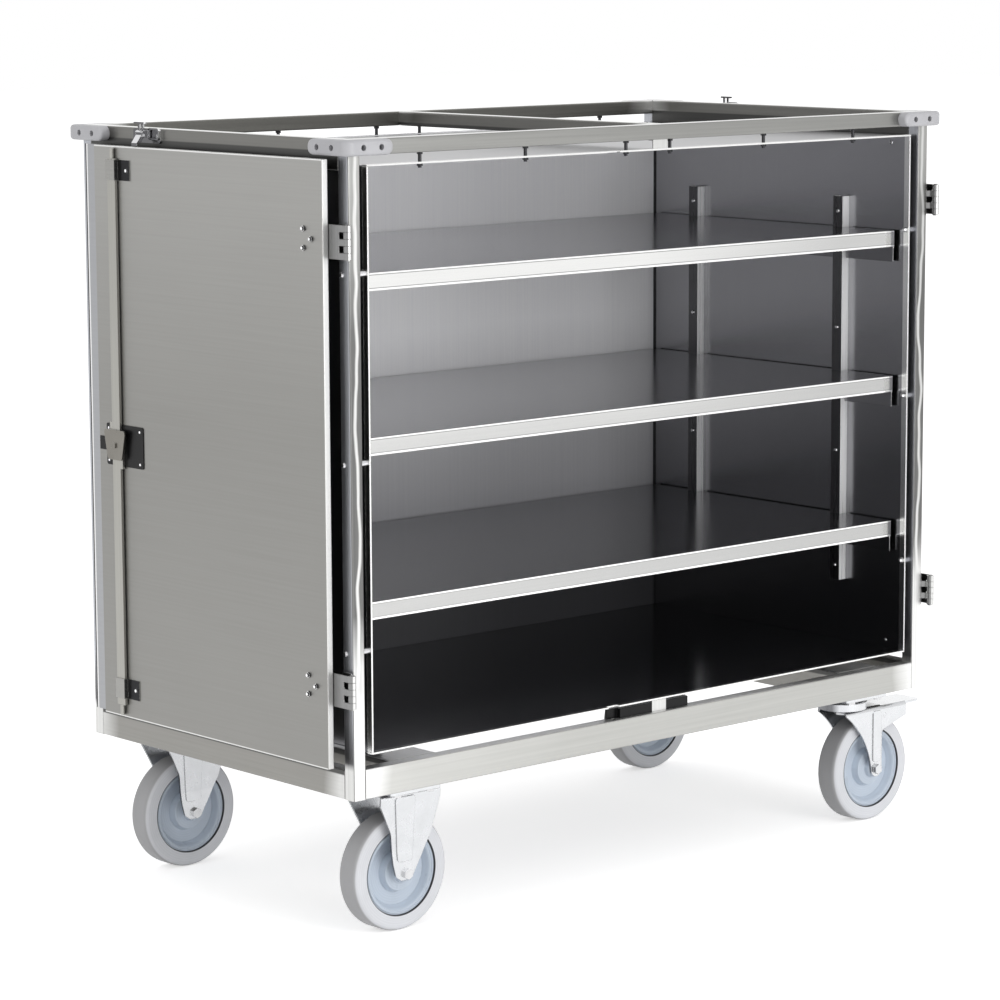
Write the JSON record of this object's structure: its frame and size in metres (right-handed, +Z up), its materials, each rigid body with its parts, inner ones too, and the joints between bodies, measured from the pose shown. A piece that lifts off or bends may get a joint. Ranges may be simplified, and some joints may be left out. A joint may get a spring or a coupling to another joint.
{
  "type": "medical trolley",
  "caption": "Closed stainless hospital transport trolley on castors, with shelves, two doors that fold right back, and a rod lock.",
  "frame": {"origin": "on the floor, under the middle of the tube frame", "axes": "+X to the trolley's right as seen from the open front, +Y to its back, +Z up"},
  "size_m": [1.4593, 0.765, 1.336],
  "materials": {
    "frame_steel": "warm satin stainless tube with brighter polished welds",
    "liner_steel": "folded stainless sheet with bright hems",
    "shelf_steel": "stainless sheet shelves with bright lips",
    "fastener_steel": "bright steel screws, studs and dome nuts",
    "packer_rubber": "dull black rubber",
    "bumper_grey": "mid-grey moulded corner bumpers",
    "hinge_steel": "bright brushed stainless",
    "door_steel": "flat brushed stainless sheet",
    "black_plastic": "black plastic",
    "rod_steel": "plain steel bar and strip",
    "lock_metal": "grey metal lock casting",
    "catch_chrome": "bright plated catch parts",
    "castor_zinc": "bright zinc-plated pressings",
    "rim_plastic": "pale blue-grey moulded rim",
    "tyre_grey": "light grey non-marking rubber"
  },
  "bodies": {
    "frame": {"corner_post_front_left": "frame_steel", "corner_post_front_right": "frame_steel", "corner_post_rear_left": "frame_steel", "corner_post_rear_right": "frame_steel", "base_rail_front": "frame_steel", "base_rail_rear": "frame_steel", "top_rail_front": "frame_steel", "top_rail_rear": "frame_steel", "base_side_rails": "frame_steel", "top_side_rails": "frame_steel", "base_cross_members": "frame_steel", "top_cross_member": "frame_steel", "liner_floor": "liner_steel", "liner_roof": "liner_steel", "liner_back": "liner_steel", "liner_side_walls": "liner_steel", "shelf_lower": "shelf_steel", "shelf_middle": "shelf_steel", "shelf_upper": "shelf_steel", "shelf_uprights": "shelf_steel", "upright_fasteners": "fastener_steel", "liner_wall_bolts": "fastener_steel", "roof_studs": "fastener_steel", "floor_packers": "packer_rubber", "corner_bumpers": "bumper_grey", "bumper_bolts": "fastener_steel", "hinge_frame_leaves": "hinge_steel", "door_strike": "black_plastic", "door_stops": "hinge_steel", "catch_brackets": "catch_chrome", "fixed_castor_forks": "castor_zinc", "swivel_top_plates": "castor_zinc", "castor_bolts": "fastener_steel"},
    "left_door": {"left_door": "door_steel", "left_door_leaves": "hinge_steel", "left_door_bolts": "fastener_steel", "lock_base_plate": "black_plastic", "rod_guides": "rod_steel", "lock_screws": "fastener_steel"},
    "lock": {"lock_rotor": "lock_metal", "lock_handle": "lock_metal"},
    "upper_rod": {"lock_rod_upper": "rod_steel"},
    "lower_rod": {"lock_rod_lower": "rod_steel"},
    "right_door": {"right_door": "door_steel", "right_door_leaves": "hinge_steel", "right_door_bolts": "fastener_steel"},
    "left_catch": {"left_catch_lever": "catch_chrome"},
    "right_catch": {"right_catch_lever": "catch_chrome"},
    "front_swivel": {"swivel_fork_front": "castor_zinc"},
    "rear_swivel": {"swivel_fork_rear": "castor_zinc"},
    "front_pedal": {"brake_pedal_front": "castor_zinc"},
    "rear_pedal": {"brake_pedal_rear": "castor_zinc"},
    "front_swivel_wheel": {"swivel_front_rim": "rim_plastic", "swivel_front_tyre": "tyre_grey"},
    "rear_swivel_wheel": {"swivel_rear_rim": "rim_plastic", "swivel_rear_tyre": "tyre_grey"},
    "front_fixed_wheel": {"fixed_front_rim": "rim_plastic", "fixed_front_tyre": "tyre_grey"},
    "rear_fixed_wheel": {"fixed_rear_rim": "rim_plastic", "fixed_rear_tyre": "tyre_grey"}
  },
  "joints": [
    {"name": "left_door_hinge", "type": "hinge", "parent": "frame", "child": "left_door", "pos_m": [-0.6965, -0.374, 0.799], "axis": [0, 0, 1], "range_deg": [0, 270]},
    {"name": "right_door_hinge", "type": "hinge", "parent": "frame", "child": "right_door", "pos_m": [0.6965, -0.374, 0.799], "axis": [0, 0, -1], "range_deg": [0, 270]},
    {"name": "lock_turn", "type": "hinge", "parent": "left_door", "child": "lock", "pos_m": [-0.716, 0.2285, 0.781], "axis": [1, 0, 0], "range_deg": [0, 90]},
    {"name": "upper_rod_slide", "type": "slide", "parent": "left_door", "child": "upper_rod", "axis": [0, 0, 1], "range_m": [0, 0.0171]},
    {"name": "lower_rod_slide", "type": "slide", "parent": "left_door", "child": "lower_rod", "axis": [0, 0, -1], "range_m": [0, 0.0171]},
    {"name": "left_catch_pivot", "type": "hinge", "parent": "frame", "child": "left_catch", "pos_m": [-0.699, 0.1715, 1.316], "axis": [0, 1, 0], "range_deg": [0, 45]},
    {"name": "right_catch_pivot", "type": "hinge", "parent": "frame", "child": "right_catch", "pos_m": [0.699, 0.1715, 1.316], "axis": [0, -1, 0], "range_deg": [0, 45]},
    {"name": "front_swivel_turn", "type": "hinge", "parent": "frame", "child": "front_swivel", "pos_m": [0.547, -0.2925, 0.23], "axis": [0, 0, 1], "continuous": true},
    {"name": "rear_swivel_turn", "type": "hinge", "parent": "frame", "child": "rear_swivel", "pos_m": [0.547, 0.2925, 0.23], "axis": [0, 0, 1], "continuous": true},
    {"name": "front_pedal_pivot", "type": "hinge", "parent": "front_swivel", "child": "front_pedal", "pos_m": [0.625, -0.2925, 0.2], "axis": [0, 1, 0], "range_deg": [0, 8]},
    {"name": "rear_pedal_pivot", "type": "hinge", "parent": "rear_swivel", "child": "rear_pedal", "pos_m": [0.625, 0.2925, 0.2], "axis": [0, 1, 0], "range_deg": [0, 8]},
    {"name": "front_swivel_axle", "type": "hinge", "parent": "front_swivel", "child": "front_swivel_wheel", "pos_m": [0.603, -0.2925, 0.1], "axis": [0, 1, 0], "continuous": true},
    {"name": "rear_swivel_axle", "type": "hinge", "parent": "rear_swivel", "child": "rear_swivel_wheel", "pos_m": [0.603, 0.2925, 0.1], "axis": [0, 1, 0], "continuous": true},
    {"name": "front_fixed_axle", "type": "hinge", "parent": "frame", "child": "front_fixed_wheel", "pos_m": [-0.547, -0.2925, 0.1], "axis": [0, 1, 0], "continuous": true},
    {"name": "rear_fixed_axle", "type": "hinge", "parent": "frame", "child": "rear_fixed_wheel", "pos_m": [-0.547, 0.2925, 0.1], "axis": [0, 1, 0], "continuous": true}
  ],
  "couplings": [
    {"joint": "upper_rod_slide", "follows": "lock_turn", "m_per_rad": 0.010804},
    {"joint": "lower_rod_slide", "follows": "lock_turn", "m_per_rad": 0.010804}
  ]
}
